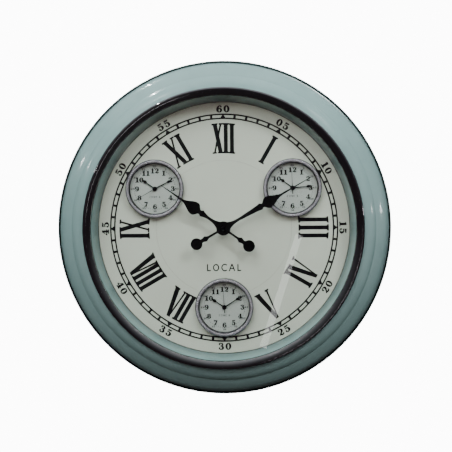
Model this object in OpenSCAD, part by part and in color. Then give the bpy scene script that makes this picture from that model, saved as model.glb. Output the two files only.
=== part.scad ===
// Multi-dial wall clock: spun steel case, main quartz clock and three insert clocks.
// +X is to the right, +Z is up and the dial faces -Y. The origin is the middle of the wall plane.
// Each part is drawn lying on its back (x right, y up, z out from the wall) and is then stood up.

/* [Case] */
// Outside diameter of the case
case_d = 515; // [505:1:525]
// Thickness of the spun steel sheet
sheet_t = 1.2; // [1:0.1:1.5]
// Height of the case's widest line above the wall
side_h = 46.5; // [45:0.5:48]

/* [Dial] */
// Diameter of the printed dial that shows through the glass
dial_d = 386; // [384:1:390]
// Height of the dial's printed face above the wall
dial_z = 51.8; // [51.6:0.1:52]
// Distance of each insert clock from the centre
insert_r = 122.4; // [120:0.2:126]

/* [Insert clocks] */
// Outside diameter of the insert's chrome bezel
insert_d = 90; // [88:0.5:92]
// Diameter of the hole that the insert drops into
insert_hole_d = 80; // [79:0.5:81]

/* [Hands] */
// Length of the main hour hand from the centre to its tip
hour_len = 116; // [110:1:120]
// Length of the main minute hand from the centre to its tip
minute_len = 154; // [148:1:158]
// Sheet thickness of the main hands
hand_t = 1; // [0.6:0.1:1.2]

/* [Motion work] */
// Distance between the arbors of meshing wheels
arbor_gap = 8.4; // [8.2:0.1:8.6]

/* [Hidden] */
$fn = 96;

// Colours
paint = [0.60, 0.69, 0.69];
chrome = [0.78, 0.79, 0.80];
steel = [0.55, 0.56, 0.57];
black = [0.04, 0.04, 0.045];
cream = [0.86, 0.87, 0.82];
dark_plastic = [0.12, 0.12, 0.13];
brass = [0.78, 0.62, 0.30];
clear = [0.8, 0.9, 0.9, 0.25];

// Gap between pieces that touch, the running gap of a shaft, and how far a cutter passes a face
touch = 0.05;
run_gap = 0.06;
cut = 1;

// Case section, measured from the clock's axis and from the wall. Going inwards from the rim, the front
// rolls over, slopes up, steps at a shallow groove and rounds off into the shoulder.
// An arc's turn is its angle from the +r direction.
case_r = case_d / 2;
bead_r = 1.6;
bead_rise = 2;
foot_w = 7.5;
recess_z = 4;
ledge_r = 236;
rim_r = case_r - 2 * bead_r - 2 * touch;
skirt_h = 8;
roll_r = 20.6;
roll_turn = 54;
slope_r = 93;
slope_turn = 64;
groove = [-0.5, 0.9];
shoulder_r = 30.6;
shoulder_turn = [46, 82];
roll_mid = [rim_r - roll_r, side_h];
slope_mid = on_arc(roll_mid, roll_r - slope_r, roll_turn);
shoulder_mid = on_arc(on_arc(slope_mid, slope_r, slope_turn) + groove, -shoulder_r, shoulder_turn[0]);
shoulder_end = on_arc(shoulder_mid, shoulder_r, shoulder_turn[1]);
shoulder_top = shoulder_end[1];
ring_out_r = shoulder_end[0] - 0.3;
seat_r = ring_out_r - 4.5;

// Chrome ring and glass
ring_w = 11.8;
ring_t = 0.8;
ring_roll = 3;
ring_fall = 40;
ring_skirt = 3.4;
glass_r = seat_r - 0.7;
glass_t = 3;
glass_sag = 5;
glass_edge_z = shoulder_top - 3.5;
glass_ball_r = (glass_r * glass_r + glass_sag * glass_sag) / (2 * glass_sag);
seal_t = 1.2;
seal_squeeze = 0.35;
surround_t = 1.2;
surround_top = glass_edge_z - seal_t;

// Dial stack
dial_t = 0.8;
dial_r = dial_d / 2;
board_t = 4.8;
board_r = dial_r + 15;
board_z = dial_z - dial_t - board_t;
centre_hole_r = 4.3;
hole_r = insert_hole_d / 2;
dial_screw_count = 6;
dial_screw_r = dial_r + 8;
screw_r = 1.5;
screw_hole_r = screw_r + 0.1;
screw_head_r = 3;
screw_head_h = 1.8;

// Rear cover, its openings and the keyhole hanger
cover_t = 1.2;
cover_r = case_r - foot_w - 0.3;
cover_z = recess_z - cover_t;
cover_screw_count = 8;
cover_screw_r = 243;
cover_open_r = 172;
hanger_y = 211;
hanger_size = [60, 40, 2];
hanger_screw_x = 22;
keyhole_entry_r = 5;
keyhole_slot_r = 2.6;
keyhole_drop = 12;
hanger_window = [26, 30];

// Main movement, a square quartz movement with a threaded bush
move_w = 56;
move_d = 16;
move_wall = 1.5;
move_z = board_z - move_d;
divider_y = -10;
lid_t = 1.5;
battery_r = 7.2;
battery_l = 50.5;
battery_y = -18.6;
battery_z = move_z + 6.8;
bush_r = 4;
bush_bore_r = 2.6;
bush_top = dial_z + 6.4;
nut_r = 6.4;
nut_h = 2.4;
washer_r = 8;
washer_t = 0.6;

// Arbors, running one inside the other
hour_tube_r = 2.53;
hour_bore_r = 1.75;
arbor_r = 1.68;
pivot_r = 1;
hour_hand_z = dial_z + 13.6;
minute_hand_z = hour_hand_z + 3.8;
nut_cap_r = 3.2;
nut_cap_h = 3.2;

// Wheels: cannon pinion 12, motion wheel 36 and pinion 10, hour wheel 40, setting pinion 12
cannon_teeth = 12;
motion_teeth = 36;
motion_pinion_teeth = 10;
hour_teeth = 40;
cannon_mod = 2 * arbor_gap / (cannon_teeth + motion_teeth);
hour_mod = 2 * arbor_gap / (motion_pinion_teeth + hour_teeth);
wheel_t = 1.2;
cannon_z = move_z + 7.2;
cannon_h = 3;
hour_wheel_z = cannon_z + 3.6;
motion_x = 0;
motion_y = arbor_gap;
setting_dir = 30;
setting_x = motion_x + arbor_gap * cos(setting_dir);
setting_y = motion_y + arbor_gap * sin(setting_dir);
post_r = 0.8;
setting_shaft_r = 1.5;
knob_r = 6;
knob_h = 4.5;
knob_z = move_z - 7;

// Insert clock, measured from the dial's face
bezel_r = insert_d / 2;
bezel_w = 6;
bezel_t = 0.8;
bezel_skirt = 5.4;
cup_r = hole_r - 0.4;
cup_wall = 1.2;
cup_depth = 24;
cup_floor = 1.5;
cup_flange_t = 1.2;
glass_seat_h = 4;
insert_glass_r = bezel_r - 3.4;
insert_glass_t = 1.1;
insert_dial_r = cup_r - cup_wall - 0.3;
insert_dial_z = -0.6;
insert_dial_t = 0.6;
cell_x = 9.5;
cell_r = 5.8;
cell_h = 3.6;
small_box_w = 34;
small_box_h = 11.4;
small_box_z = insert_dial_z - small_box_h - 0.1;
small_bush_r = 2.6;
small_bush_bore = 2;
small_rear_bore = 1.3;
small_hour_r = 1.93;
small_hour_bore = 1.3;
small_minute_r = 1.24;
small_minute_bore = 0.75;
small_second_r = 0.7;
small_hand_t = 0.3;
small_hour_z = 1;
small_minute_z = 1.8;
small_second_z = 2.6;
small_knob_r = 4;
small_knob_h = 12;
small_hour_len = 25;
small_minute_len = 31;
small_second_len = 28;
grip_r = hole_r + 3.5;
grip_h = 5;

// Hand angles, clockwise from twelve, and the places of the insert clocks
main_hour_angle = 305;
main_minute_angle = 60;
insert_dir = [150, 30, 270];
insert_hour_angle = [306, 307, 304];
insert_minute_angle = [63, 85, 57];
insert_second_angle = [240, 358, 356];
sides = ["left", "right", "lower"];

// ---------- helpers ----------

module stand_up() {
    rotate([90, 0, 0])
        children();
}

module at_insert(i) {
    stand_up()
        translate([insert_r * cos(insert_dir[i]), insert_r * sin(insert_dir[i]), dial_z])
            children();
}

// Copies of a thing at equal steps on a circle
module around(count, r, turn = 0) {
    for (i = [0 : count - 1])
        rotate(turn + i * 360 / count)
            translate([r, 0, 0])
                children();
}

// A cutter for a round hole through a sheet of thickness t whose lower face is at z
module hole(r, z, t) {
    translate([0, 0, z - cut])
        cylinder(r = r, h = t + 2 * cut);
}

// A flat ring
module ring(out_r, in_r, z, h) {
    translate([0, 0, z])
        linear_extrude(h)
            difference() {
                circle(out_r);
                circle(in_r);
            }
}

// A rectangle in the section of a turned part, from its two corners
module block(r0, z0, r1, z1) {
    translate([r0, z0])
        square([r1 - r0, z1 - z0]);
}

// The point of an arc at the angle a, and points along it from a0 to a1
function on_arc(mid, r, a) = mid + r * [cos(a), sin(a)];
function arc_points(mid, r, a0, a1, n) = [for (i = [0 : n]) on_arc(mid, r, a0 + (a1 - a0) * i / n)];

// The glass ring's sheet: a tight roll outside, a long easy fall inside, and two legs
function ring_section(foot_z) =
    let (
        mid = [ring_out_r - ring_roll, foot_z + ring_skirt],
        fall_w = ring_w - ring_roll,
        fall_r = fall_w / sin(ring_fall),
        fall_mid = [mid[0], mid[1] + ring_roll - fall_r],
        throat = ring_out_r - ring_w,
        inner_fall = asin((fall_w - ring_t) / (fall_r - ring_t))
    )
    concat(
        [[ring_out_r, foot_z]],
        arc_points(mid, ring_roll, 0, 88, 16),
        arc_points(fall_mid, fall_r, 90, 90 + ring_fall, 24),
        [[throat, foot_z], [throat + ring_t, foot_z]],
        arc_points(fall_mid, fall_r - ring_t, 90 + inner_fall, 90, 24),
        arc_points(mid, ring_roll - ring_t, 86, 0, 12),
        [[ring_out_r - ring_t, foot_z]]
    );

// Section of a half-round ring of sheet t: its outer leg stands on foot_z, its inner leg on inner_z
function half_round(mid_r, foot_z, inner_z, skirt, r, t) = concat(
    [[mid_r + r, foot_z]],
    arc_points([mid_r, foot_z + skirt], r, 0, 180, 32),
    [[mid_r - r, inner_z], [mid_r - r + t, inner_z]],
    arc_points([mid_r, foot_z + skirt], r - t, 180, 0, 32),
    [[mid_r + r - t, foot_z]]
);

// A pan-head screw that points along +z, with a cross recess
module pan_screw(length) {
    difference() {
        union() {
            cylinder(r = screw_r, h = length);
            translate([0, 0, -screw_head_h])
                cylinder(r = screw_head_r, h = screw_head_h);
        }
        for (a = [0, 90])
            translate([0, 0, -screw_head_h])
                rotate(a)
                    cube([screw_head_r * 1.1, screw_head_r * 0.25, screw_head_h], center = true);
    }
}

// A toothed wheel. A tooth is centred on the angle first_tooth.
module toothed_outline(teeth, mod, first_tooth) {
    pitch = PI * mod;
    pitch_r = teeth * mod / 2;
    root_r = pitch_r - 1.15 * mod;
    tip_r = pitch_r + 0.8 * mod;
    circle(root_r);
    for (i = [0 : teeth - 1])
        rotate(first_tooth + i * 360 / teeth)
            polygon([
                [root_r * 0.9, -pitch * 0.24],
                [pitch_r, -pitch * 0.19],
                [tip_r, -pitch * 0.08],
                [tip_r, pitch * 0.08],
                [pitch_r, pitch * 0.19],
                [root_r * 0.9, pitch * 0.24],
            ]);
}

module toothed_wheel(teeth, mod, first_tooth, z, h, bore) {
    translate([0, 0, z])
        linear_extrude(h)
            difference() {
                toothed_outline(teeth, mod, first_tooth);
                circle(bore);
            }
}

// Share of the first station's half width that is left at t. A positive curve is a power of the way
// left, so 1 is a straight side; a negative one starts and ends smoothly, like the side of a lobe.
function ease(t, curve) = curve > 0 ? pow(1 - t, curve) : pow((1 + cos(180 * t)) / 2, -curve);

// One side of a hand between the stations a and b, each [y, half width, curve]
function side_points(a, b, n) = [for (i = [0 : n - 1]) let (t = i / n)
    [b[1] + (a[1] - b[1]) * ease(t, a[2]), a[0] + (b[0] - a[0]) * t]];

// A flat hand from a list of stations, from its tail to its tip
module hand_outline(stations, n) {
    last = stations[len(stations) - 1];
    half = [for (k = [0 : len(stations) - 2]) each side_points(stations[k], stations[k + 1], n)];
    outline = concat(half, [[last[1], last[0]]]);
    mirrored = [for (k = [len(outline) - 1 : -1 : 0]) [-outline[k][0], outline[k][1]]];
    polygon(concat(outline, mirrored));
}

// A spade hand: a flare from the boss to a waist, a collar, two round lobes and a long needle.
// Its tail has a small collar and a disc.
module spade_hand(length, collar_y, lobe_y, lobe_w) {
    boss_r = 10.8;
    waist_y = 28;
    disc_r = 9;
    disc_y = -47.5;
    hand_outline([
        [disc_y + 4, 5, 2], [-36, 2.8, 1], [-31, 4.4, 2], [-25, 1.6, 1], [-9, 1.6, 1],
        [3, 9.6, 2.6], [waist_y, 2.1, 0.6], [collar_y, 5.3, 1.6], [lobe_y - 10, 3.2, -1.7],
        [lobe_y, lobe_w, -1.4], [lobe_y + 27, 1.4, 1], [length, 0.3, 1],
    ], 10);
    circle(boss_r);
    translate([0, disc_y])
        circle(disc_r);
}

// ---------- case and front ----------

// Side wall with a turned-in foot that rests on the wall and a rolled bead at the front
module case_drum() {
    foot_r = case_r - foot_w;
    bead_z = side_h + bead_rise;
    color(paint)
    stand_up()
        rotate_extrude($fn = 180)
            polygon(concat(
                [[foot_r, 0], [case_r, 0]],
                arc_points([case_r - bead_r, bead_z], bead_r, 0, 180, 16),
                [[case_r - 2 * bead_r, bead_z - 1.2], [case_r - sheet_t, bead_z - 2.4]],
                [[case_r - sheet_t, sheet_t], [foot_r, sheet_t]]
            ));
}

// The spun front, from its skirt inside the drum to the seat of the chrome ring and the glass.
// The section runs along the outside to the glass seat, then back along the inside to the skirt.
function front_section() = concat(
    [[rim_r, side_h - skirt_h]],
    arc_points(roll_mid, roll_r, 0, roll_turn, 24),
    arc_points(slope_mid, slope_r, roll_turn + 1, slope_turn, 10),
    arc_points(shoulder_mid, shoulder_r, shoulder_turn[0], shoulder_turn[1], 20),
    [[seat_r, shoulder_top], [seat_r, shoulder_top - sheet_t]],
    arc_points(shoulder_mid, shoulder_r - sheet_t, shoulder_turn[1], shoulder_turn[0], 20),
    arc_points(slope_mid, slope_r - sheet_t, slope_turn, roll_turn + 1, 10),
    arc_points(roll_mid, roll_r - sheet_t, roll_turn, 0, 24),
    [[rim_r - sheet_t, side_h - skirt_h]]
);

module case_front() {
    color(paint)
    stand_up()
        rotate_extrude($fn = 180)
            polygon(front_section());
}

// Flat ring welded inside the drum, to which the rear cover is screwed
module cover_ledge() {
    color(paint)
    stand_up()
        difference() {
            ring(case_r - sheet_t - 2 * touch, ledge_r, recess_z, sheet_t);
            around(cover_screw_count, cover_screw_r, 180 / cover_screw_count)
                hole(screw_hole_r, recess_z, sheet_t);
        }
}

module chrome_ring() {
    foot_z = shoulder_top + 2 * touch;
    color(chrome)
    stand_up()
        rotate_extrude($fn = 180)
            polygon(ring_section(foot_z));
}

module front_glass() {
    top_z = glass_edge_z + glass_t + glass_sag;
    color(clear)
    stand_up()
        intersection() {
            translate([0, 0, top_z - glass_ball_r])
                difference() {
                    sphere(glass_ball_r, $fn = 180);
                    sphere(glass_ball_r - glass_t, $fn = 180);
                }
            translate([0, 0, glass_edge_z - cut])
                cylinder(r = glass_r, h = glass_t + glass_sag + 2 * cut);
        }
}

module glass_seal() {
    color(dark_plastic)
    stand_up()
        ring(ring_out_r - 2, glass_r - 7, surround_top + touch, seal_t - touch - seal_squeeze);
}

module dial_surround() {
    throat_r = ring_out_r - ring_w;
    foot_z = dial_z + touch;
    color(paint * 0.9)
    stand_up()
        difference() {
            rotate_extrude($fn = 180)
                union() {
                    polygon([
                        [dial_r, foot_z],
                        [dial_r + surround_t, foot_z],
                        [throat_r + surround_t, surround_top],
                        [throat_r, surround_top],
                    ]);
                    block(dial_r, foot_z, board_r, foot_z + surround_t);
                    block(throat_r, surround_top - surround_t, ring_out_r - 2, surround_top);
                }
            around(dial_screw_count, dial_screw_r)
                hole(screw_hole_r, foot_z, surround_t);
        }
}

// ---------- dial ----------

module dial_blank(r, z, t) {
    difference() {
        translate([0, 0, z])
            cylinder(r = r, h = t);
        hole(centre_hole_r, z, t);
        for (a = insert_dir)
            translate([insert_r * cos(a), insert_r * sin(a), 0])
                hole(hole_r, z, t);
        around(dial_screw_count, dial_screw_r)
            hole(screw_hole_r, z, t);
    }
}

module main_dial() {
    color(cream)
    stand_up()
        dial_blank(board_r, dial_z - dial_t, dial_t);
}

module dial_board() {
    color([0.45, 0.33, 0.22])
    stand_up()
        dial_blank(board_r - 0.5, board_z, board_t);
}

module dial_screws() {
    color(steel)
    stand_up()
        around(dial_screw_count, dial_screw_r)
            translate([0, 0, board_z - touch])
                pan_screw(board_t + dial_t + surround_t + 1);
}

// ---------- back ----------

// Places of the two screws that hold the hanger plate
module at_hanger_screws() {
    for (x = [-hanger_screw_x, hanger_screw_x])
        translate([x, hanger_y, 0])
            children();
}

// A flat ring: its large round opening gives access to the movements behind the dial
module rear_cover() {
    color(dark_plastic)
    stand_up()
        difference() {
            ring(cover_r, cover_open_r, cover_z, cover_t - touch);
            translate([-hanger_window[0] / 2, hanger_y - hanger_window[1] / 2, cover_z - cut])
                cube([hanger_window[0], hanger_window[1], cover_t + 2 * cut]);
            at_hanger_screws()
                hole(screw_hole_r, cover_z, cover_t);
            around(cover_screw_count, cover_screw_r, 180 / cover_screw_count)
                hole(screw_hole_r, cover_z, cover_t);
        }
}

module rear_cover_screws() {
    color(steel)
    stand_up()
        around(cover_screw_count, cover_screw_r, 180 / cover_screw_count)
            translate([0, 0, cover_z - touch])
                pan_screw(cover_t + sheet_t + 1.5);
}

module hanger_plate() {
    t = hanger_size[2];
    entry_y = hanger_y - keyhole_drop / 2;
    color(steel)
    stand_up()
        difference() {
            translate([-hanger_size[0] / 2, hanger_y - hanger_size[1] / 2, recess_z])
                cube(hanger_size);
            translate([0, entry_y, 0])
                hole(keyhole_entry_r, recess_z, t);
            translate([-keyhole_slot_r, entry_y, recess_z - cut])
                cube([2 * keyhole_slot_r, keyhole_drop, t + 2 * cut]);
            translate([0, entry_y + keyhole_drop, 0])
                hole(keyhole_slot_r, recess_z, t);
            at_hanger_screws()
                hole(screw_hole_r, recess_z, t);
        }
}

module hanger_screws() {
    color(steel)
    stand_up()
        at_hanger_screws()
            translate([0, 0, cover_z - touch])
                pan_screw(cover_t + hanger_size[2] + 0.5);
}

// ---------- main movement ----------

module movement_case() {
    inner_w = move_w - 2 * move_wall;
    color(dark_plastic)
    stand_up()
        translate([0, 0, move_z])
            difference() {
                union() {
                    difference() {
                        translate([-move_w / 2, -move_w / 2, 0])
                            cube([move_w, move_w, move_d - touch]);
                        translate([-inner_w / 2, -inner_w / 2, -cut])
                            cube([inner_w, inner_w, move_d - move_wall + cut]);
                    }
                    translate([-inner_w / 2, divider_y - 0.5, lid_t])
                        cube([inner_w, 1, move_d - move_wall - lid_t]);
                    translate([motion_x, motion_y, cannon_z - move_z - 1])
                        cylinder(r = post_r - run_gap, h = move_d - move_wall - cannon_z + move_z + 1);
                }
                hole(bush_r + touch, 0, move_d);
            }
}

module movement_lid() {
    w = move_w - 2 * move_wall - 0.2;
    pocket_h = divider_y + w / 2 - 1;
    boss_h = 4;
    color(dark_plastic * 1.6)
    stand_up()
        translate([0, 0, move_z])
            difference() {
                union() {
                    translate([-w / 2, -w / 2, 0])
                        cube([w, w, lid_t]);
                    cylinder(r = 3, h = boss_h);
                    translate([setting_x, setting_y, 0])
                        cylinder(r = 3, h = boss_h);
                }
                translate([-battery_l / 2 - 1.5, -w / 2 + 1, -cut])
                    cube([battery_l + 3, pocket_h, lid_t + 2 * cut]);
                hole(pivot_r + run_gap, 0, boss_h);
                translate([setting_x, setting_y, 0])
                    hole(setting_shaft_r + run_gap, 0, boss_h);
            }
}

module centre_bush() {
    flange_t = 1.1;
    flange_z = board_z - move_wall - flange_t - 2 * touch;
    color(brass)
    stand_up()
        union() {
            ring(bush_r, bush_bore_r, flange_z, bush_top - flange_z);
            ring(bush_r + 2, bush_bore_r, flange_z, flange_t);
        }
}

module bush_washer() {
    color(brass)
    stand_up()
        ring(washer_r, bush_r + 2 * touch, dial_z, washer_t);
}

module bush_nut() {
    color(brass)
    stand_up()
        translate([0, 0, dial_z + washer_t])
            difference() {
                cylinder(r = nut_r, h = nut_h, $fn = 6);
                hole(bush_r, 0, nut_h);
            }
}

module drive_coil() {
    color([0.62, 0.30, 0.16])
    stand_up()
        translate([-22, 21.5, move_z + 7])
            rotate([0, 90, 0])
                union() {
                    cylinder(r = 3.4, h = 18);
                    for (x = [0, 17])
                        translate([0, 0, x])
                            cylinder(r = 4.3, h = 1);
                }
}

module stator() {
    color(steel)
    stand_up()
        translate([0, 0, move_z + 2.4])
            difference() {
                translate([-24, 10.5, 0])
                    cube([22, 5, 0.8]);
                translate([-13, 13, 0])
                    hole(1.6, 0, 0.8);
            }
}

module circuit_board() {
    color([0.10, 0.32, 0.20])
    stand_up()
        union() {
            translate([-25.5, -8.5, move_z + 3])
                cube([17, 16, 1]);
            translate([-23, -5, move_z + 4])
                cube([6, 5, 1.2]);
            translate([-14, -6, move_z + 5.6])
                rotate([-90, 0, 0])
                    cylinder(r = 1.5, h = 8);
            translate([-14.6, -5.5, move_z + 4])
                cube([1.2, 7, 0.6]);
        }
}

module battery() {
    color([0.75, 0.62, 0.25])
    stand_up()
        translate([-battery_l / 2, battery_y, battery_z])
            rotate([0, 90, 0])
                union() {
                    cylinder(r = battery_r, h = battery_l - 1.4);
                    cylinder(r = 2.7, h = battery_l);
                }
}

module battery_contacts() {
    color(brass)
    stand_up()
        for (x = [-move_w / 2 + move_wall + 0.1, move_w / 2 - move_wall - 0.5])
            translate([x, battery_y - 5, move_z + lid_t + 0.5])
                cube([0.4, 10, 11]);
}

module minute_arbor() {
    color(brass)
    stand_up()
        union() {
            translate([0, 0, cannon_z - 0.5])
                cylinder(r = arbor_r, h = minute_hand_z + hand_t + nut_cap_h - cannon_z - 0.5);
            translate([0, 0, move_z + 0.5])
                cylinder(r = pivot_r, h = cannon_z - move_z);
            toothed_wheel(cannon_teeth, cannon_mod, 0, cannon_z, cannon_h, arbor_r / 2);
        }
}

module hour_wheel() {
    color(brass)
    stand_up()
        union() {
            toothed_wheel(hour_teeth, hour_mod, 4.5, hour_wheel_z, wheel_t, hour_bore_r);
            ring(hour_tube_r, hour_bore_r, hour_wheel_z, hour_hand_z + hand_t + 0.6 - hour_wheel_z);
        }
}

module motion_wheel() {
    color(brass)
    stand_up()
        translate([motion_x, motion_y, 0])
            union() {
                toothed_wheel(motion_teeth, cannon_mod, 5, cannon_z + 0.6, wheel_t, post_r);
                toothed_wheel(motion_pinion_teeth, hour_mod, 18, cannon_z + 0.6, 4.6, post_r);
            }
}

module setting_knob() {
    color(black * 3)
    stand_up()
        translate([setting_x, setting_y, 0])
            union() {
                toothed_wheel(cannon_teeth, cannon_mod, 0, cannon_z - 0.4, 3, setting_shaft_r / 2);
                translate([0, 0, knob_z])
                    cylinder(r = setting_shaft_r, h = cannon_z - knob_z);
                translate([0, 0, knob_z])
                    difference() {
                        cylinder(r = knob_r, h = knob_h);
                        around(12, knob_r + 0.5)
                            hole(1, 0, knob_h, $fn = 24);
                    }
            }
}

// ---------- main hands ----------

module minute_hand() {
    color(black)
    stand_up()
        rotate(-main_minute_angle)
            translate([0, 0, minute_hand_z])
                linear_extrude(hand_t)
                    difference() {
                        spade_hand(minute_len, 66.5, 79.5, 8.9);
                        circle(arbor_r);
                    }
}

module hour_hand() {
    color(black)
    stand_up()
        rotate(-main_hour_angle)
            translate([0, 0, hour_hand_z])
                linear_extrude(hand_t)
                    difference() {
                        spade_hand(hour_len, 40, 54, 10.2);
                        circle(hour_tube_r + touch / 2);
                    }
}

module hand_nut() {
    color(black)
    stand_up()
        translate([0, 0, minute_hand_z + hand_t])
            difference() {
                union() {
                    cylinder(r = nut_cap_r, h = nut_cap_h);
                    cylinder(r = nut_cap_r + 1.4, h = 1);
                    translate([0, 0, nut_cap_h])
                        intersection() {
                            sphere(nut_cap_r);
                            cylinder(r = nut_cap_r + 1, h = nut_cap_r);
                        }
                }
                translate([0, 0, -cut])
                    cylinder(r = arbor_r, h = nut_cap_h - 0.4 + cut);
            }
}

// ---------- insert clocks ----------

module insert_bezel() {
    foot_z = 2 * touch;
    lip_z = glass_seat_h + insert_glass_t + 2 * touch;
    color(chrome)
        rotate_extrude()
            polygon(half_round(bezel_r - bezel_w / 2, foot_z, lip_z, bezel_skirt, bezel_w / 2, bezel_t));
}

module insert_glass() {
    color(clear)
        translate([0, 0, glass_seat_h])
            cylinder(r = insert_glass_r, h = insert_glass_t);
}

module insert_dial() {
    color(cream)
        translate([0, 0, insert_dial_z])
            difference() {
                cylinder(r = insert_dial_r, h = insert_dial_t);
                hole(small_bush_r, 0, insert_dial_t);
            }
}

module insert_cup() {
    bore_r = cup_r - cup_wall;
    ledge_top = insert_dial_z - touch;
    flange_z = 2 * touch;
    color(dark_plastic)
        difference() {
            rotate_extrude()
                union() {
                    block(0, -cup_depth, cup_r, cup_floor - cup_depth);
                    block(bore_r, -cup_depth, cup_r, flange_z);
                    block(bore_r, flange_z, bezel_r - bezel_t - 0.2, flange_z + cup_flange_t);
                    block(insert_glass_r - 2.2, flange_z, insert_glass_r, glass_seat_h - touch);
                    block(bore_r - 2.4, ledge_top - 1, bore_r, ledge_top);
                }
            hole(small_knob_r + 1, -cup_depth, cup_floor);
        }
}

module insert_movement() {
    color([0.25, 0.25, 0.27])
        difference() {
            union() {
                translate([-small_box_w / 2, -small_box_w / 2, small_box_z])
                    cube([small_box_w, small_box_w, small_box_h]);
                translate([0, 0, small_box_z])
                    cylinder(r = small_bush_r - touch, h = small_box_h + insert_dial_t + 0.6);
            }
            translate([0, 0, small_box_z + 6])
                cylinder(r = small_bush_bore, h = 20);
            hole(small_rear_bore, small_box_z, small_box_h - cut);
            translate([cell_x, -cell_x, small_box_z - cut])
                cylinder(r = cell_r + 0.3, h = cell_h + 0.2 + cut);
        }
}

module insert_hour_hand(i) {
    color(black)
        rotate(-insert_hour_angle[i])
            difference() {
                union() {
                    translate([0, 0, small_hour_z])
                        linear_extrude(small_hand_t)
                            union() {
                                hand_outline([
                                    [0, 1.1, 1], [14, 0.7, 1], [15, 0.6, 1.6], [18.5, 2.6, 1.5],
                                    [small_hour_len, 0.15, 1],
                                ], 4);
                                circle(3.6);
                            }
                    translate([0, 0, small_box_z + 6.5])
                        cylinder(r = small_hour_r, h = small_hour_z + small_hand_t - small_box_z - 6.5);
                }
                translate([0, 0, small_box_z])
                    cylinder(r = small_hour_bore, h = 20);
            }
}

module insert_minute_hand(i) {
    color(black)
        rotate(-insert_minute_angle[i])
            difference() {
                union() {
                    translate([0, 0, small_minute_z])
                        linear_extrude(small_hand_t)
                            union() {
                                hand_outline([
                                    [0, 1, 1], [20, 0.6, 1], [21, 0.5, 1.6], [24.5, 2, 1.5],
                                    [small_minute_len, 0.15, 1],
                                ], 4);
                                circle(3);
                            }
                    translate([0, 0, small_box_z + 3])
                        cylinder(r = small_minute_r, h = small_minute_z + small_hand_t - small_box_z - 3);
                }
                translate([0, 0, small_box_z + 5])
                    cylinder(r = small_minute_bore, h = 20);
            }
}

module insert_second_hand(i) {
    color(black)
        rotate(-insert_second_angle[i])
            union() {
                translate([0, 0, small_second_z])
                    linear_extrude(small_hand_t)
                        union() {
                            hand_outline([[-9, 0.7, 1], [0, 0.45, 1], [small_second_len, 0.2, 1]], 1);
                            circle(1.9);
                        }
                translate([0, 0, small_box_z + 5.5])
                    cylinder(r = small_second_r, h = small_second_z + 0.7 - small_box_z - 5.5);
            }
}

module insert_set_knob() {
    knob_top = small_box_z - 1.5;
    color(black * 3)
        union() {
            translate([0, 0, knob_top])
                cylinder(r = small_rear_bore - run_gap, h = 4.5);
            difference() {
                translate([0, 0, knob_top - small_knob_h])
                    cylinder(r = small_knob_r, h = small_knob_h);
                around(10, small_knob_r + 0.3)
                    translate([0, 0, knob_top - small_knob_h - cut])
                        cylinder(r = 0.7, h = 10, $fn = 24);
            }
        }
}

module insert_cells() {
    color(steel)
        for (i = [0 : 2])
            at_insert(i)
                translate([cell_x, -cell_x, small_box_z])
                    cylinder(r = cell_r, h = cell_h);
}

module insert_grip_rings() {
    color(dark_plastic)
        for (i = [0 : 2])
            at_insert(i)
                ring(grip_r, cup_r + touch, -dial_t - board_t - touch - grip_h, grip_h);
}

// ---------- nodes ----------

case_drum();
case_front();
cover_ledge();
rear_cover();
rear_cover_screws();
hanger_plate();
hanger_screws();
chrome_ring();
front_glass();
glass_seal();
dial_surround();
main_dial();
dial_board();
dial_screws();
movement_case();
movement_lid();
centre_bush();
bush_nut();
bush_washer();
drive_coil();
stator();
circuit_board();
battery();
battery_contacts();
minute_arbor();
hour_wheel();
motion_wheel();
setting_knob();
minute_hand();
hand_nut();
hour_hand();
insert_grip_rings();
insert_cells();
for (i = [0 : 2]) {
    at_insert(i) insert_bezel();
    at_insert(i) insert_glass();
    at_insert(i) insert_dial();
    at_insert(i) insert_cup();
    at_insert(i) insert_movement();
    at_insert(i) insert_hour_hand(i);
    at_insert(i) insert_minute_hand(i);
    at_insert(i) insert_second_hand(i);
    at_insert(i) insert_set_knob();
}
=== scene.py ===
"""Looks of the multi-dial wall clock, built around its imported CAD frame.

World axes: +X right, +Z up, the dial faces -Y. The turned pieces and the dial's print are drawn in clock
coordinates (x right, y up, z out from the wall). Such a point stands at (x, -z, y) in the world.
"""
import math

import bmesh
import bpy
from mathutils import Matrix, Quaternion, Vector
from mathutils.geometry import delaunay_2d_cdt


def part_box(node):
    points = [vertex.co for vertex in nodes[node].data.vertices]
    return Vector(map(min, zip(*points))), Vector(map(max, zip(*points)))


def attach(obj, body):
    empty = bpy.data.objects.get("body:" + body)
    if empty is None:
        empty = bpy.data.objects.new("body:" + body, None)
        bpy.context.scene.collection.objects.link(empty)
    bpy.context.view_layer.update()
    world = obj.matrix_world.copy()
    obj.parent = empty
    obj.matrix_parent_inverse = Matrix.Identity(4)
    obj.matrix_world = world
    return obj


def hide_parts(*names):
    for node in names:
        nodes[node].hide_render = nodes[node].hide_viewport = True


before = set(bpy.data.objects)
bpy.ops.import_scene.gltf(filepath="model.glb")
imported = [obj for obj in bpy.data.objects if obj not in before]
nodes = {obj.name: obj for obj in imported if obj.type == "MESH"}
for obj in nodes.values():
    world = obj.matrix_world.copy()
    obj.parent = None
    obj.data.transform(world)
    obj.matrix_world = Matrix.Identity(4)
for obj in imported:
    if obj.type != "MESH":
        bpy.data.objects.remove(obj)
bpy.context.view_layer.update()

MM = 0.001

# ---------------------------------------------------------------- sizes from the frame

CASE_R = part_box("case_drum")[1].x
CASE_TOP = -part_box("case_front")[0].y
RING_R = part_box("chrome_ring")[1].x
RING_FOOT = -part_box("chrome_ring")[1].y
DIAL_Z = -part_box("main_dial")[0].y
THROAT_Z = -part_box("dial_surround")[0].y
SIDES = ("left", "right", "lower")
TOUCH = 0.05 * MM                       # gap between neighbouring solids


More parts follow.
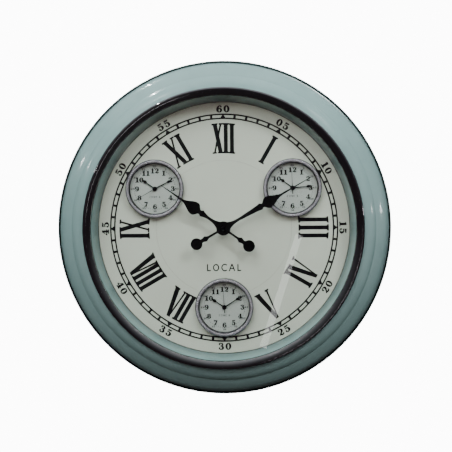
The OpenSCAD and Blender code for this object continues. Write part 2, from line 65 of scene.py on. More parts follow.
def middle(node):
    """Centre of a node in clock coordinates, and its front."""
    low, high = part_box(node)
    return (low.x + high.x) / 2, (low.z + high.z) / 2, -low.y


INSERT_AT = [middle(f"{s}_bezel") for s in SIDES]


# ---------------------------------------------------------------- node tree helpers

class Tree:
    """A material's node tree, with short calls for the nodes used here."""

    def __init__(self, name):
        self.material = bpy.data.materials.new(name)
        self.material.use_nodes = True
        self.nodes = self.material.node_tree.nodes
        self.links = self.material.node_tree.links
        self.shader = self.nodes["Principled BSDF"]
        self.output = self.nodes["Material Output"]
        self.place = self.nodes.new("ShaderNodeTexCoord").outputs["Object"]

    def set(self, **values):
        """Constants on the shader's own sockets; underscores stand for spaces."""
        for name, value in values.items():
            self.shader.inputs[name.replace("_", " ")].default_value = value
        return self

    def noise(self, scale, detail=4.0, roughness=0.55, stretch=None):
        node = self.nodes.new("ShaderNodeTexNoise")
        node.inputs["Scale"].default_value = scale
        node.inputs["Detail"].default_value = detail
        node.inputs["Roughness"].default_value = roughness
        place = self.place
        if stretch:
            mapping = self.nodes.new("ShaderNodeMapping")
            mapping.inputs["Scale"].default_value = stretch
            self.links.new(self.place, mapping.inputs["Vector"])
            place = mapping.outputs["Vector"]
        self.links.new(place, node.inputs["Vector"])
        return node.outputs["Fac"]

    def ramp(self, factor, *stops):
        """A colour ramp of (position, grey or colour) stops."""
        node = self.nodes.new("ShaderNodeValToRGB")
        ramp = node.color_ramp
        while len(ramp.elements) < len(stops):
            ramp.elements.new(0.5)
        for element, (position, value) in zip(ramp.elements, stops):
            element.position = position
            element.color = (*value, 1) if isinstance(value, tuple) else (value, value, value, 1)
        self.links.new(factor, node.inputs["Fac"])
        return node.outputs["Color"]

    def mix(self, factor, a, b, blend="MIX"):
        node = self.nodes.new("ShaderNodeMix")
        node.data_type = "RGBA"
        node.blend_type = blend
        for socket, value in (("Factor", factor), ("A", a), ("B", b)):
            target = [s for s in node.inputs if s.name == socket and s.enabled][0]
            if isinstance(value, bpy.types.NodeSocket):
                self.links.new(value, target)
            else:
                target.default_value = (*value, 1) if isinstance(value, tuple) else value
        return [s for s in node.outputs if s.name == "Result" and s.enabled][0]

    def math(self, operation, a, b=0.0):
        node = self.nodes.new("ShaderNodeMath")
        node.operation = operation
        for socket, value in zip(node.inputs, (a, b)):
            if isinstance(value, bpy.types.NodeSocket):
                self.links.new(value, socket)
            else:
                socket.default_value = value
        return node.outputs["Value"]

    def radial(self, r0, r1):
        """0 to 1 between two distances from the clock's axis."""
        flat = self.nodes.new("ShaderNodeMapping")
        flat.inputs["Scale"].default_value = (1.0, 0.0, 1.0)
        length = self.nodes.new("ShaderNodeVectorMath")
        length.operation = "LENGTH"
        span = self.nodes.new("ShaderNodeMapRange")
        span.inputs["From Min"].default_value = r0
        span.inputs["From Max"].default_value = r1
        self.links.new(self.place, flat.inputs["Vector"])
        self.links.new(flat.outputs["Vector"], length.inputs[0])
        self.links.new(length.outputs["Value"], span.inputs["Value"])
        return span.outputs["Result"]

    def height(self, z0, z1):
        """0 to 1 between two distances out from the wall."""
        apart = self.nodes.new("ShaderNodeSeparateXYZ")
        span = self.nodes.new("ShaderNodeMapRange")
        span.inputs["From Min"].default_value = -z0
        span.inputs["From Max"].default_value = -z1
        self.links.new(self.place, apart.inputs["Vector"])
        self.links.new(apart.outputs["Y"], span.inputs["Value"])
        return span.outputs["Result"]

    def worn_edges(self, low=0.51, high=0.60):
        """White along sharp convex edges, from the mesh's own pointiness."""
        geometry = self.nodes.new("ShaderNodeNewGeometry")
        return self.ramp(geometry.outputs["Pointiness"], (low, 0.0), (high, 1.0))

    def colour(self, socket):
        self.links.new(socket, self.shader.inputs["Base Color"])
        return self

    def rough(self, socket):
        self.links.new(socket, self.shader.inputs["Roughness"])
        return self

    def bump(self, height, distance, strength=1.0):
        node = self.nodes.new("ShaderNodeBump")
        node.inputs["Distance"].default_value = distance
        node.inputs["Strength"].default_value = strength
        self.links.new(height, node.inputs["Height"])
        self.links.new(node.outputs["Normal"], self.shader.inputs["Normal"])
        return self


# ---------------------------------------------------------------- materials

def enamel(name, light, dark, gloss=0.16, painted_shade=None):
    """Sprayed gloss enamel: slight cloudiness, orange peel and a hard clear surface.

    The optional (radius, radius, stops) argument is painted shade: the paint is darkened between the two
    radii by the ramp of the stops.
    """
    t = Tree(name)
    cloud = t.ramp(t.noise(6.0, 5.0, 0.6), (0.35, dark), (0.65, light))
    grime = t.ramp(t.noise(38.0, 6.0, 0.7), (0.52, 0.0), (0.78, 1.0))
    soiled_and_shaded = t.mix(t.math("MULTIPLY", grime, 0.22), cloud, tuple(c * 0.62 for c in dark))
    # painted shade: the paint is darkened between two radii, where shade falls in a seam or at a foot
    if painted_shade:
        r0, r1, stops = painted_shade
        soiled_and_shaded = t.mix(1.0, soiled_and_shaded, t.ramp(t.radial(r0, r1), *stops), "MULTIPLY")
    t.colour(soiled_and_shaded)
    t.rough(t.ramp(t.noise(24.0, 4.0), (0.3, gloss * 0.75), (0.75, gloss * 1.5)))
    t.bump(t.noise(420.0, 2.0, 0.5), 0.00006, 0.5)
    t.set(Specular_IOR_Level=0.4, Coat_Weight=0.8, Coat_Roughness=0.035, Coat_IOR=1.45)
    return t.material


def chrome_plate(name, tint=(0.62, 0.63, 0.65), rough=0.05, metal=1.0, tarnish_and_shade=None):
    """Polished chrome with faint smears and the slow waviness of spun sheet.

    The optional (height, height) argument is a painted dark reflection: the plate is darkened below the first
    height and clean above the second.
    """
    t = Tree(name)
    smear = t.noise(30.0, 6.0, 0.65, (1.0, 0.4, 1.0))
    plate = t.ramp(smear, (0.3, tuple(c * 0.86 for c in tint)), (0.7, tint))
    # painted dark reflection: the plate is darkened below a height, leaving only a bright crown
    if tarnish_and_shade:
        plate = t.mix(1.0, plate, t.ramp(t.height(*tarnish_and_shade), (0.0, 0.10), (1.0, 1.0)), "MULTIPLY")
    t.colour(plate)
    t.rough(t.ramp(smear, (0.35, rough), (0.8, rough * 2.6)))
    t.bump(t.noise(14.0, 1.0, 0.4), 0.0004, 0.25)
    t.set(Metallic=metal)
    return t.material


def dial_finish(name, light, dark):
    """Printed satin sheet with a faint paper-like mottle."""
    t = Tree(name)
    tone = t.ramp(t.noise(9.0, 4.0, 0.5), (0.3, dark), (0.7, light))
    speck = t.ramp(t.noise(900.0, 2.0, 0.6), (0.62, 0.0), (0.75, 1.0))
    t.colour(t.mix(t.math("MULTIPLY", speck, 0.10), tone, tuple(c * 0.7 for c in dark)))
    t.rough(t.ramp(t.noise(60.0, 3.0), (0.3, 0.42), (0.7, 0.55)))
    t.bump(t.noise(1400.0, 2.0), 0.00003, 0.5)
    t.set(Specular_IOR_Level=0.35)
    return t.material


def ink(name, colour=(0.0015, 0.0015, 0.002), rough=0.5):
    """Screen-printed ink: nearly flat black with a slightly uneven sheen."""
    t = Tree(name)
    t.colour(t.ramp(t.noise(220.0, 3.0), (0.3, colour), (0.8, tuple(c * 1.6 for c in colour))))
    t.rough(t.ramp(t.noise(90.0, 3.0), (0.3, rough * 0.85), (0.8, rough * 1.2)))
    t.bump(t.noise(1800.0, 2.0), 0.00002, 0.4)
    t.set(Specular_IOR_Level=0.25)
    return t.material


def hand_paint(name):
    """Satin black stamped steel, a little dust and brighter rubbed edges."""
    t = Tree(name)
    base = t.ramp(t.noise(120.0, 4.0), (0.3, (0.0004, 0.0004, 0.0006)), (0.8, (0.0012, 0.0012, 0.0015)))
    t.colour(t.mix(t.math("MULTIPLY", t.worn_edges(0.53, 0.62), 0.12), base, (0.02, 0.02, 0.02)))
    t.rough(t.ramp(t.noise(70.0, 4.0), (0.3, 0.34), (0.8, 0.52)))
    t.bump(t.noise(900.0, 2.0), 0.00003, 0.5)
    t.set(Specular_IOR_Level=0.06)
    return t.material


def clear_glass(name, smear=0.02):
    """Clear glass that lets lamps and the room's light reach what is behind it."""
    t = Tree(name)
    t.set(Transmission_Weight=1.0, IOR=1.46, Base_Color=(0.975, 0.99, 0.985, 1.0))
    t.rough(t.ramp(t.noise(8.0, 5.0, 0.6), (0.55, 0.0), (0.9, smear)))
    see = t.nodes.new("ShaderNodeBsdfTransparent")
    see.inputs["Color"].default_value = (0.955, 0.97, 0.965, 1.0)
    path = t.nodes.new("ShaderNodeLightPath")
    lamps = t.math("MAXIMUM", path.outputs["Is Shadow Ray"], path.outputs["Is Diffuse Ray"])
    mix = t.nodes.new("ShaderNodeMixShader")
    t.links.new(lamps, mix.inputs["Fac"])
    t.links.new(t.shader.outputs["BSDF"], mix.inputs[1])
    t.links.new(see.outputs["BSDF"], mix.inputs[2])
    t.links.new(mix.outputs["Shader"], t.output.inputs["Surface"])
    return t.material


def plastic(name, colour, rough=0.45, grain=1300.0):
    """Moulded plastic with a fine spark-eroded grain and scuffed edges."""
    t = Tree(name)
    tone = t.ramp(t.noise(45.0, 4.0), (0.3, colour), (0.75, tuple(c * 1.5 + 0.004 for c in colour)))
    t.colour(t.mix(t.math("MULTIPLY", t.worn_edges(), 0.3), tone, tuple(c * 2 + 0.06 for c in colour)))
    t.rough(t.ramp(t.noise(150.0, 4.0), (0.3, rough * 0.85), (0.8, rough * 1.25)))
    t.bump(t.noise(grain, 3.0), 0.00005, 0.6)
    return t.material


def rubber(name, colour=(0.018, 0.018, 0.019)):
    """Soft matte rubber with dust in its pores."""
    t = Tree(name)
    dust = t.ramp(t.noise(70.0, 5.0, 0.7), (0.5, 0.0), (0.85, 1.0))
    t.colour(t.mix(t.math("MULTIPLY", dust, 0.4), colour, (0.06, 0.058, 0.055)))
    t.rough(t.ramp(t.noise(200.0, 3.0), (0.3, 0.62), (0.8, 0.85)))
    t.bump(t.noise(1600.0, 2.0), 0.00005, 0.6)
    return t.material


def bare_metal(name, tint, rough=0.28, stretch=(1.0, 1.0, 14.0), stain=(0.25, 0.22, 0.18)):
    """Plated or turned metal with tool lines and a little tarnish."""
    t = Tree(name)
    lines = t.noise(420.0, 3.0, 0.6, stretch)
    tarnish_and_shade = t.ramp(t.noise(55.0, 5.0, 0.7), (0.55, 0.0), (0.85, 1.0))
    shade = t.ramp(lines, (0.3, tuple(c * 0.82 for c in tint)), (0.75, tint))
    t.colour(t.mix(t.math("MULTIPLY", tarnish_and_shade, 0.35), shade, stain))
    t.rough(t.ramp(lines, (0.3, rough * 0.8), (0.75, rough * 1.4)))
    t.bump(lines, 0.00003, 0.5)
    t.set(Metallic=1.0)
    return t.material


def fibre_board(name):
    """Pressed fibre board: short matted fibres in browns."""
    t = Tree(name)
    fibres = t.noise(320.0, 8.0, 0.75, (1.0, 1.0, 3.0))
    t.colour(t.ramp(fibres, (0.3, (0.10, 0.055, 0.028)), (0.5, (0.20, 0.125, 0.07)),
                    (0.72, (0.32, 0.22, 0.13))))
    t.rough(t.ramp(fibres, (0.3, 0.7), (0.8, 0.9)))
    t.bump(fibres, 0.00012, 0.8)
    return t.material


def circuit(name):
    """Green solder mask over faint copper tracks."""
    t = Tree(name)
    wave = t.nodes.new("ShaderNodeTexWave")
    wave.wave_type = "BANDS"
    wave.inputs["Scale"].default_value = 260.0
    wave.inputs["Distortion"].default_value = 3.0
    t.links.new(t.place, wave.inputs["Vector"])
    tracks = t.ramp(wave.outputs["Fac"], (0.72, 0.0), (0.80, 1.0))
    t.colour(t.mix(tracks, (0.012, 0.075, 0.03), (0.035, 0.17, 0.07)))
    t.rough(t.ramp(t.noise(80.0), (0.3, 0.22), (0.8, 0.34)))
    t.bump(tracks, 0.00004, 0.6)
    return t.material


def windings(name):
    """Enamelled copper wire wound on a bobbin."""
    t = Tree(name)
    wave = t.nodes.new("ShaderNodeTexWave")
    wave.bands_direction = "X"
    wave.inputs["Scale"].default_value = 900.0
    t.links.new(t.place, wave.inputs["Vector"])
    t.colour(t.ramp(wave.outputs["Fac"], (0.1, (0.16, 0.045, 0.015)), (0.8, (0.55, 0.20, 0.08))))
    t.rough(t.ramp(wave.outputs["Fac"], (0.2, 0.4), (0.8, 0.25)))
    t.bump(wave.outputs["Fac"], 0.00006, 0.8)
    t.set(Metallic=0.8)
    return t.material


def battery_jacket(name, low_x, length):
    """Printed steel jacket: a copper-coloured end band and a dark body."""
    t = Tree(name)
    axis = t.nodes.new("ShaderNodeSeparateXYZ")
    t.links.new(t.place, axis.inputs["Vector"])
    along = t.math("DIVIDE", t.math("SUBTRACT", axis.outputs["X"], low_x), length)
    bands = t.ramp(along, (0.02, (0.45, 0.45, 0.46)), (0.03, (0.012, 0.012, 0.013)),
                   (0.66, (0.012, 0.012, 0.013)), (0.67, (0.50, 0.24, 0.10)), (0.965, (0.50, 0.24, 0.10)),
                   (0.975, (0.45, 0.45, 0.46)))
    t.colour(bands)
    t.rough(t.ramp(t.noise(60.0, 4.0), (0.3, 0.22), (0.8, 0.36)))
    t.bump(t.noise(500.0), 0.00003, 0.4)
    t.set(Metallic=0.55)
    return t.material


DIAL_R = 193 * MM
PAINT = ((0.228, 0.361, 0.356), (0.196, 0.322, 0.317))
MATERIALS = {
    "case": enamel("duck_egg_enamel", *PAINT),
    # painted shade: a dark line along the drum's bead, where it meets the front of the case
    "drum": enamel("duck_egg_side", *PAINT,
                   painted_shade=(CASE_R - 2.2 * MM, CASE_R - 0.5 * MM, ((0.3, 0.03), (1.0, 1.0)))),
    # painted shade: the surround darkens towards its foot at the dial, with a dark line at the junction
    "surround": enamel("duck_egg_surround", *PAINT,
                       painted_shade=(DIAL_R, DIAL_R + 8 * MM, ((0.05, 0.05), (0.2, 0.42), (0.95, 0.9)))),
    "cover": enamel("black_cover_paint", (0.022, 0.022, 0.024), (0.014, 0.014, 0.015), 0.4),
    "chrome": chrome_plate("chrome_plate", (0.50, 0.49, 0.51)),
    # painted dark reflection: each insert bezel is dark on its flanks and bright only along its crown
    "small_chrome": chrome_plate("insert_chrome", (0.84, 0.82, 0.90), 0.13, 0.75,
                                 (INSERT_AT[0][2] - 1.0 * MM, INSERT_AT[0][2] - 0.25 * MM)),
    "glass": clear_glass("front_glass_clear"),
    "small_glass": clear_glass("insert_glass_clear", 0.01),
    "dial": dial_finish("dial_print_base", (0.585, 0.65, 0.555), (0.54, 0.60, 0.515)),
    "small_dial": dial_finish("insert_dial_base", (0.52, 0.56, 0.53), (0.46, 0.50, 0.47)),
    "ink": ink("dial_ink"),
    "grey_ink": ink("grey_ink", (0.05, 0.055, 0.05), 0.5),
    "fine_ink": ink("circle_ink", (0.33, 0.36, 0.31), 0.5),
    "hand": hand_paint("hand_black"),
    "plastic": plastic("movement_plastic", (0.016, 0.016, 0.018)),
    "grey_plastic": plastic("insert_plastic", (0.035, 0.036, 0.04)),
    "knob": plastic("knob_plastic", (0.10, 0.10, 0.105), 0.5),
    "rubber": rubber("seal_rubber"),
    "brass": bare_metal("turned_brass", (0.72, 0.53, 0.24), 0.26),
    "steel": bare_metal("zinc_steel", (0.58, 0.59, 0.60), 0.3),
    "board": fibre_board("fibre_board"),
    "circuit": circuit("circuit_board_green"),
    "copper": windings("coil_copper"),
    "battery": battery_jacket("battery_jacket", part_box("battery")[0].x,
                              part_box("battery")[1].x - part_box("battery")[0].x),
}


def paint_node(node, material):
    """Gives a carried-over CAD node its finish."""
    for slot in nodes[node].material_slots:
        slot.material = MATERIALS[material]


NODE_FINISH = {
    "case": ["cover_ledge"],
    "cover": ["rear_cover"],
    "steel": ["rear_cover_screws", "hanger_plate", "hanger_screws", "dial_screws", "stator",
              "insert_cells"],
    "rubber": ["glass_seal", "insert_grip_rings"],
    "dial": ["main_dial"],
    "board": ["dial_board"],
    "plastic": ["movement_case", "movement_lid"] + [f"{s}_cup" for s in SIDES],
    "grey_plastic": [f"{s}_movement" for s in SIDES],
    "knob": ["setting_knob"] + [f"{s}_set_knob" for s in SIDES],
    "brass": ["centre_bush", "bush_nut", "bush_washer", "battery_contacts", "minute_arbor", "hour_wheel",
              "motion_wheel"],
    "copper": ["drive_coil"],
    "circuit": ["circuit_board"],
    "battery": ["battery"],
    "hand": ["minute_hand", "hour_hand", "hand_nut"]
            + [f"{s}_{h}_hand" for s in SIDES for h in ("hour", "minute", "second")],
    "small_dial": [f"{s}_dial" for s in SIDES],
    "small_glass": [f"{s}_glass" for s in SIDES],
}
for finish, names in NODE_FINISH.items():
    for each in names:
        paint_node(each, finish)


# ---------------------------------------------------------------- turned pieces

def arc(mid_r, mid_z, r, a0, a1, steps):
    """Points of an arc in a section, angles in degrees."""
    turn = [math.radians(a0 + (a1 - a0) * i / steps) for i in range(steps + 1)]
    return [(mid_r + r * math.cos(a), mid_z + r * math.sin(a)) for a in turn]


def piece_of(mesh, material):
    """An object of a finished mesh, named as the mesh."""
    piece = bpy.data.objects.new(mesh.name, mesh)
    bpy.context.scene.collection.objects.link(piece)
    mesh.materials.append(material)
    return piece


def rounded(mesh, bm, material):
    """A piece of a turned mesh: smooth, with sharp edges where its section has corners."""
    bmesh.ops.recalc_face_normals(bm, faces=bm.faces)
    bm.to_mesh(mesh)
    bm.free()
    mesh.shade_smooth()
    mesh.set_sharp_from_angle(angle=math.radians(35))
    return piece_of(mesh, material)


def lathe(name, section, material, at=(0.0, 0.0), segments=256):
    """Turns a closed section of (radius, height over the wall) about the clock's axis at a point."""
    mesh = bpy.data.meshes.new(name)
    bm = bmesh.new()
    rows = []
    for k in range(segments):
        a = 2 * math.pi * k / segments
        rows.append([bm.verts.new((at[0] + r * math.cos(a), -z, at[1] + r * math.sin(a)))
                     for r, z in section])
    count = len(section)
    for k in range(segments):
        here, there = rows[k], rows[(k + 1) % segments]
        for i in range(count):
            j = (i + 1) % count
            bm.faces.new((here[i], here[j], there[j], there[i]))
    return rounded(mesh, bm, MATERIALS[material])


def place_piece(piece, body, slot, *replaced):
    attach(piece, body)
    if replaced:
        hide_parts(*replaced)
    return piece


INK_SLOT = "hand_paint"
SHEET = 1.2 * MM
BEAD = 1.6 * MM
BEAD_Z = -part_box("case_drum")[0].y - BEAD
FOOT_R = CASE_R - 7.5 * MM
SKIRT_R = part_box("case_front")[1].x
SKIRT_FOOT = -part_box("case_front")[1].y
RIM_Z = SKIRT_FOOT + 8 * MM
SEAT_R = RING_R - 4.5 * MM


def drum_section():
    """Side wall with a softened foot and the rolled bead, as the CAD wall with finer arcs."""
    return (
        [(FOOT_R, 0.0), (CASE_R - 0.5 * MM, 0.0), (CASE_R - 0.15 * MM, 0.15 * MM), (CASE_R, 0.5 * MM)]
        + arc(CASE_R - BEAD, BEAD_Z, BEAD, 0, 180, 20)
        + [(CASE_R - 2 * BEAD, BEAD_Z - 1.2 * MM), (CASE_R - SHEET, BEAD_Z - 2.4 * MM)]
        + [(CASE_R - SHEET, SHEET), (FOOT_R, SHEET)]
    )


def front_section():
    """The CAD outline with finer arcs: roll, slope, groove and shoulder, then back along the inside."""
    roll, slope, shoulder = 20.6 * MM, 93 * MM, 30.6 * MM
    turn = math.radians(54)
    roll_r, roll_z = SKIRT_R - roll, RIM_Z
    slope_r = roll_r + (roll - slope) * math.cos(turn)
    slope_z = roll_z + (roll - slope) * math.sin(turn)
    crest = arc(slope_r, slope_z, slope, 54, 64, 20)
    foot = (crest[-1][0] - 0.5 * MM, crest[-1][1] + 0.9 * MM)
    top = math.radians(46)
    shoulder_r, shoulder_z = foot[0] - shoulder * math.cos(top), foot[1] - shoulder * math.sin(top)
    return (
        [(SKIRT_R, SKIRT_FOOT)] + arc(roll_r, roll_z, roll, 0, 54, 40) + crest[1:]
        + arc(shoulder_r, shoulder_z, shoulder, 46, 82, 30)
        + [(SEAT_R, CASE_TOP), (SEAT_R, CASE_TOP - SHEET)]
        + arc(shoulder_r, shoulder_z, shoulder - SHEET, 82, 46, 20)
        + arc(slope_r, slope_z, slope - SHEET, 64, 55, 10)
        + arc(roll_r, roll_z, roll - SHEET, 54, 0, 20) + [(SKIRT_R - SHEET, SKIRT_FOOT)]
    )


def half_round(mid_r, foot, skirt, r, t, steps):
    """Section of a half-round sheet ring standing on its two legs."""
    return (
        [(mid_r + r, foot)]
        + arc(mid_r, foot + skirt, r, 0, 180, steps)
        + [(mid_r - r, foot), (mid_r - r + t, foot)]
        + arc(mid_r, foot + skirt, r - t, 180, 0, steps // 2)
        + [(mid_r + r - t, foot)]
    )


place_piece(lathe("painted_drum", drum_section(), "drum"), "clock", "case_paint", "case_drum")
place_piece(lathe("painted_front", front_section(), "case"), "clock", "case_paint", "case_front")
RING_W = 11.8 * MM
THROAT_R = RING_R - RING_W


def ring_section():
    """The CAD ring with finer arcs: a tight roll outside, a long easy fall inside, and two legs."""
    foot, skirt, roll, fall, t = RING_FOOT, 3.4 * MM, 3 * MM, 40, 0.8 * MM
    mid_r, mid_z = RING_R - roll, foot + skirt
    fall_r = (RING_W - roll) / math.sin(math.radians(fall))
    fall_z = mid_z + roll - fall_r
    inner = math.degrees(math.asin((RING_W - roll - t) / (fall_r - t)))
    return (
        [(RING_R, foot)]
        + arc(mid_r, mid_z, roll, 0, 86, 24)
        + arc(mid_r, fall_z, fall_r, 90, 90 + fall, 40)
        + [(THROAT_R, foot), (THROAT_R + t, foot)]
        + arc(mid_r, fall_z, fall_r - t, 90 + inner, 90, 20)
        + arc(mid_r, mid_z, roll - t, 84, 0, 12)
        + [(RING_R - t, foot)]
    )


place_piece(lathe("polished_ring", ring_section(), "chrome"), "clock", "chrome_trim", "chrome_ring")

FLANGE_T = 1.2 * MM
BOARD_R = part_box("main_dial")[1].x
FLANGE_Z = DIAL_Z + TOUCH
FLANGE_R = RING_R - 2 * MM
surround_section = [
    (DIAL_R, FLANGE_Z), (BOARD_R, FLANGE_Z), (BOARD_R, FLANGE_Z + FLANGE_T),
    (DIAL_R + 1.6 * MM, FLANGE_Z + FLANGE_T), (THROAT_R + FLANGE_T, THROAT_Z - FLANGE_T),
    (FLANGE_R, THROAT_Z - FLANGE_T), (FLANGE_R, THROAT_Z), (THROAT_R, THROAT_Z),
]
place_piece(lathe("painted_surround", surround_section, "surround"),
            "clock", "case_paint", "dial_surround")


def dome_section():
    """Outline of the domed front glass, as two shallow arcs."""
    low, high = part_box("front_glass")
    edge_r, top = high.x, -low.y
    thick, sag, steps = 3 * MM, 5 * MM, 40
    ball = (edge_r * edge_r + sag * sag) / (2 * sag)
    radii = [edge_r * i / steps for i in range(steps + 1)]

    def height(r, ball_r):
        return top - ball + math.sqrt(ball_r * ball_r - r * r)

    outer = [(r, height(r, ball)) for r in radii]
    inner = [(r, height(r, ball - thick)) for r in reversed(radii)]
    return outer, inner


def dome(name, material, segments=192):
    """The domed glass: two grids closed at the middle and joined at the rim."""
    outer, inner = dome_section()
    mesh = bpy.data.meshes.new(name)
    bm = bmesh.new()

    def cap(points):
        tip = bm.verts.new((0, -points[0][1], 0))
        rows = []
        for r, z in points[1:]:
            rows.append([bm.verts.new((r * math.cos(2 * math.pi * k / segments), -z,
                                       r * math.sin(2 * math.pi * k / segments)))
                         for k in range(segments)])
        for k in range(segments):
            n = (k + 1) % segments
            bm.faces.new((tip, rows[0][k], rows[0][n]))
            for a, b in zip(rows, rows[1:]):
                bm.faces.new((a[k], b[k], b[n], a[n]))
        return rows[-1]

    front = cap(outer)
    back = cap(list(reversed(inner)))
    for k in range(segments):
        n = (k + 1) % segments
        bm.faces.new((front[k], back[k], back[n], front[n]))
    return rounded(mesh, bm, MATERIALS[material])


place_piece(dome("domed_glass", "glass"), "clock", "clear_glass", "front_glass")

LIP_Z = DIAL_Z + 5.2 * MM                # the bezel's inner leg ends here, on its glass
BEZEL_BEAD = 3 * MM
BEZEL_T = 0.8 * MM
for side, (x, y, top) in zip(SIDES, INSERT_AT):
    low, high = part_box(f"{side}_bezel")
    outer_r, foot = (high.x - low.x) / 2, -high.y
    mid_r = outer_r - BEZEL_BEAD
    section = half_round(mid_r, foot, top - foot - BEZEL_BEAD, BEZEL_BEAD, BEZEL_T, 32)
    section = [(r, max(z, LIP_Z) if r < mid_r else z) for r, z in section]
    place_piece(lathe(f"{side}_polished_bezel", section, "small_chrome", (x, y), 160),
                "clock", "chrome_trim", f"{side}_bezel")


# ---------------------------------------------------------------- print on the dials

# A glyph is a list of convex faces, 1 high, with its left edge at 0. union() merges them into triangles
# that share their corners, and printed() gives them thickness.

def union(faces):
    """Triangles of the area that overlapping convex faces cover together."""
    points, rows = [], []
    for face in faces:
        area = sum(a[0] * b[1] - b[0] * a[1] for a, b in zip(face, face[1:] + face[:1]))
        if abs(area) < 1e-6:
            continue
        rows.append(list(range(len(points), len(points) + len(face))))
        points.extend(Vector(p) for p in (face if area > 0 else face[::-1]))
    flat, _, triangles, _, _, origins = delaunay_2d_cdt(points, [], rows, 0, 1e-5)
    return [[tuple(flat[i]) for i in triangle] for triangle, source in zip(triangles, origins) if source]


def pen(*stations):
    """Faces of a pen stroke along (x, y, width) stations, smoothed by a spline."""
    points = [Vector(p) for p in stations]
    ends = [points[0] * 2 - points[1]] + points + [points[-1] * 2 - points[-2]]
    line = []
    for a, b, c, d in zip(ends, ends[1:], ends[2:], ends[3:]):
        for k in range(8):
            t = k / 8
            line.append(0.5 * (2 * b + (c - a) * t + (2 * a - 5 * b + 4 * c - d) * t * t
                               + (3 * b - a - 3 * c + d) * t ** 3))
    line.append(points[-1])
    sides = []
    for k, point in enumerate(line):
        along = line[min(k + 1, len(line) - 1)] - line[max(k - 1, 0)]
        across = Vector((-along.y, along.x)).normalized() * point.z / 2
        sides.append((point.xy + across, point.xy - across))
    return [face for (a, b), (c, d) in zip(sides, sides[1:]) for face in ([a, b, d], [a, d, c])]


def ring(x, y, rx, ry, inner_rx, inner_ry, steps=28):
    """Faces of an oval ring, thick at its sides and thin above and below."""
    turn = [2 * math.pi * k / steps for k in range(steps + 1)]
    rim = [((x + rx * math.cos(a), y + ry * math.sin(a)),
            (x + inner_rx * math.cos(a), y + inner_ry * math.sin(a))) for a in turn]
    return [[a, c, d, b] for (a, b), (c, d) in zip(rim, rim[1:])]


def dot(x, y, r, steps=18):
    return [[(x + r * math.cos(2 * math.pi * k / steps), y + r * math.sin(2 * math.pi * k / steps))
             for k in range(steps)]]


def plate(*corners):
    return [list(corners)]


def bar(x0, y0, x1, y1):
    return [[(x0, y0), (x1, y0), (x1, y1), (x0, y1)]]


WEIGHT = 0.042                          # how much each stroke of a digit grows on every side


def heavy_pen(*stations):
    return pen(*[(x, y, width + 2 * WEIGHT) for x, y, width in stations])


def heavy_ring(x, y, rx, ry, inner_rx, inner_ry):
    return ring(x, y, rx + WEIGHT, ry + WEIGHT, inner_rx - WEIGHT, inner_ry - WEIGHT)


def heavy_bar(x0, y0, x1, y1):
    return bar(x0 - WEIGHT, y0 - WEIGHT, x1 + WEIGHT, y1 + WEIGHT)


SIX = (heavy_ring(0.42, 0.31, 0.40, 0.31, 0.155, 0.25)
       + heavy_pen((0.66, 0.92, 0.07), (0.46, 0.97, 0.06), (0.24, 0.82, 0.18), (0.145, 0.52, 0.26),
                   (0.15, 0.3, 0.25))
       + dot(0.67, 0.83, 0.12))
DIGITS = {
    "0": heavy_ring(0.42, 0.5, 0.41, 0.5, 0.165, 0.43),
    "1": heavy_bar(0.28, 0.0, 0.56, 1.0) + heavy_bar(0.10, 0.0, 0.74, 0.08)
         + plate((0.30, 1.0), (0.09, 0.88), (0.09, 0.81), (0.30, 0.84)),
    "2": dot(0.19, 0.73, 0.135)
         + heavy_pen((0.09, 0.76, 0.06), (0.19, 0.93, 0.07), (0.42, 0.965, 0.07), (0.62, 0.86, 0.20),
                     (0.66, 0.68, 0.26), (0.50, 0.45, 0.17), (0.22, 0.22, 0.07), (0.08, 0.06, 0.06))
         + heavy_pen((0.05, 0.07, 0.04), (0.22, 0.16, 0.14), (0.48, 0.08, 0.17), (0.70, 0.10, 0.12),
                     (0.78, 0.30, 0.05)),
    "3": dot(0.19, 0.79, 0.13) + dot(0.19, 0.22, 0.135)
         + heavy_pen((0.09, 0.82, 0.06), (0.22, 0.95, 0.06), (0.42, 0.965, 0.07), (0.60, 0.88, 0.18),
                     (0.62, 0.72, 0.24), (0.48, 0.57, 0.09), (0.30, 0.53, 0.06))
         + heavy_pen((0.30, 0.53, 0.06), (0.50, 0.52, 0.09), (0.68, 0.40, 0.22), (0.68, 0.22, 0.27),
                     (0.50, 0.05, 0.10), (0.28, 0.03, 0.06), (0.09, 0.18, 0.06)),
    "4": heavy_bar(0.46, 0.0, 0.70, 1.0) + heavy_bar(0.26, 0.0, 0.84, 0.08)
         + heavy_bar(0.02, 0.27, 0.86, 0.35)
         + plate((0.46, 1.0), (0.02, 0.35), (0.02, 0.27), (0.10, 0.27), (0.52, 0.90)),
    "5": dot(0.18, 0.22, 0.135)
         + plate((0.13, 1.0), (0.13, 0.50), (0.19, 0.50), (0.21, 0.84), (0.21, 1.0))
         + heavy_pen((0.13, 0.92, 0.16), (0.40, 0.91, 0.17), (0.66, 0.94, 0.12), (0.76, 1.02, 0.03))
         + heavy_pen((0.15, 0.52, 0.06), (0.30, 0.61, 0.07), (0.52, 0.59, 0.13), (0.68, 0.42, 0.24),
                     (0.68, 0.22, 0.26), (0.50, 0.05, 0.10), (0.28, 0.03, 0.06), (0.09, 0.18, 0.06)),
    "6": SIX,
    "7": heavy_bar(0.06, 0.83, 0.12, 1.02)
         + heavy_pen((0.08, 0.88, 0.14), (0.30, 0.93, 0.17), (0.55, 0.86, 0.17), (0.78, 0.96, 0.08))
         + heavy_pen((0.77, 0.98, 0.05), (0.60, 0.66, 0.12), (0.44, 0.36, 0.22), (0.38, 0.0, 0.28)),
    "8": heavy_ring(0.42, 0.28, 0.41, 0.28, 0.17, 0.215)
         + heavy_ring(0.42, 0.755, 0.35, 0.245, 0.145, 0.19),
    "9": [[(0.84 - x, 1.0 - y) for x, y in face] for face in SIX],
}
HAIR = 0.16                             # stroke of the plain letters
